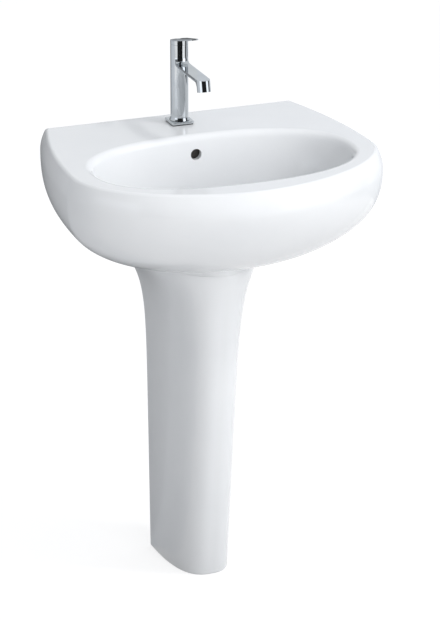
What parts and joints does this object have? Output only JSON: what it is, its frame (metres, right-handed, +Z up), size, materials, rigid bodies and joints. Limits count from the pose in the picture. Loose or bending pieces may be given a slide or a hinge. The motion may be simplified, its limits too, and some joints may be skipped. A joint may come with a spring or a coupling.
{
  "type": "pedestal sink",
  "caption": "Oval-bowled ceramic wash basin on a tapering hollow pedestal, with a single-lever mixer tap, click waste and bottle trap.",
  "frame": {"origin": "on the floor, midway across the basin and midway between the wall face and the front of the basin", "axes": "+Z up, +Y towards the wall behind the basin, +X to the right seen from the front"},
  "size_m": [0.6, 0.49, 1.0322],
  "materials": {
    "glaze": "white glaze, high gloss",
    "chrome": "bright chrome plate",
    "brass": "turned, unplated",
    "zinc_steel": "zinc plated",
    "black_rubber": "matt black",
    "white_plastic": "natural acetal",
    "grey_plastic": "moulded grey",
    "disc_ceramic": "lapped alumina"
  },
  "bodies": {
    "root": {"aerator_housing": "chrome", "aerator_insert": "grey_plastic", "aerator_washer": "black_rubber", "basin": "glaze", "cartridge_nut": "brass", "cartridge_seal": "black_rubber", "cartridge_shell": "white_plastic", "ceramic_disc_fixed": "disc_ceramic", "fixing_bush_left": "white_plastic", "fixing_bush_right": "white_plastic", "fixing_nut_left": "zinc_steel", "fixing_nut_right": "zinc_steel", "fixing_washer_left": "zinc_steel", "fixing_washer_right": "zinc_steel", "hanger_bolt_left": "zinc_steel", "hanger_bolt_right": "zinc_steel", "inlet_tail_left": "brass", "inlet_tail_right": "brass", "pedestal": "glaze", "plug_guide": "white_plastic", "plug_spring": "zinc_steel", "tap_base_gasket": "black_rubber", "tap_base_plate": "chrome", "tap_body": "chrome", "tap_fixing_nut": "brass", "tap_fixing_stud": "zinc_steel", "tap_rubber_washer": "black_rubber", "tap_steel_washer": "zinc_steel", "trap_bottle": "chrome", "trap_collar_nut": "chrome", "trap_collar_seal": "black_rubber", "trap_cup": "chrome", "trap_cup_seal": "black_rubber", "trap_inlet_pipe": "chrome", "trap_outlet_nut": "chrome", "trap_outlet_pipe": "chrome", "trap_outlet_seal": "black_rubber", "trap_slip_nut": "chrome", "trap_slip_seal": "black_rubber", "wall_rosette": "chrome", "waste_flange": "chrome", "waste_gasket": "black_rubber", "waste_nut": "brass", "waste_tail_piece": "brass", "waste_top_seal": "black_rubber"},
    "lever_carrier": {"cartridge_carrier": "white_plastic", "cartridge_pin": "zinc_steel"},
    "lever": {"tap_lever": "chrome", "cartridge_stem": "brass", "lever_grub_screw": "zinc_steel"},
    "mixing_disc": {"ceramic_disc_moving": "disc_ceramic"},
    "plug": {"waste_plug": "chrome", "plug_stem": "brass"}
  },
  "joints": [
    {"name": "lever_turn", "type": "hinge", "parent": "root", "child": "lever_carrier", "pos_m": [0, 0.189, 0.9839], "axis": [0, 0, 1], "range_deg": [-45, 45]},
    {"name": "lever_lift", "type": "hinge", "parent": "lever_carrier", "child": "lever", "pos_m": [0, 0.189, 0.9839], "axis": [-1, 0, 0], "range_deg": [0, 20]},
    {"name": "disc_slide", "type": "slide", "parent": "lever_carrier", "child": "mixing_disc", "axis": [0, -1, 0], "range_m": [0, 0.0022]},
    {"name": "plug_slide", "type": "slide", "parent": "root", "child": "plug", "axis": [0, 0, 1], "range_m": [-0.008, 0], "deforming": ["plug_spring"]}
  ],
  "couplings": [
    {"joint": "disc_slide", "follows": "lever_lift", "m_per_rad": 0.00607}
  ]
}
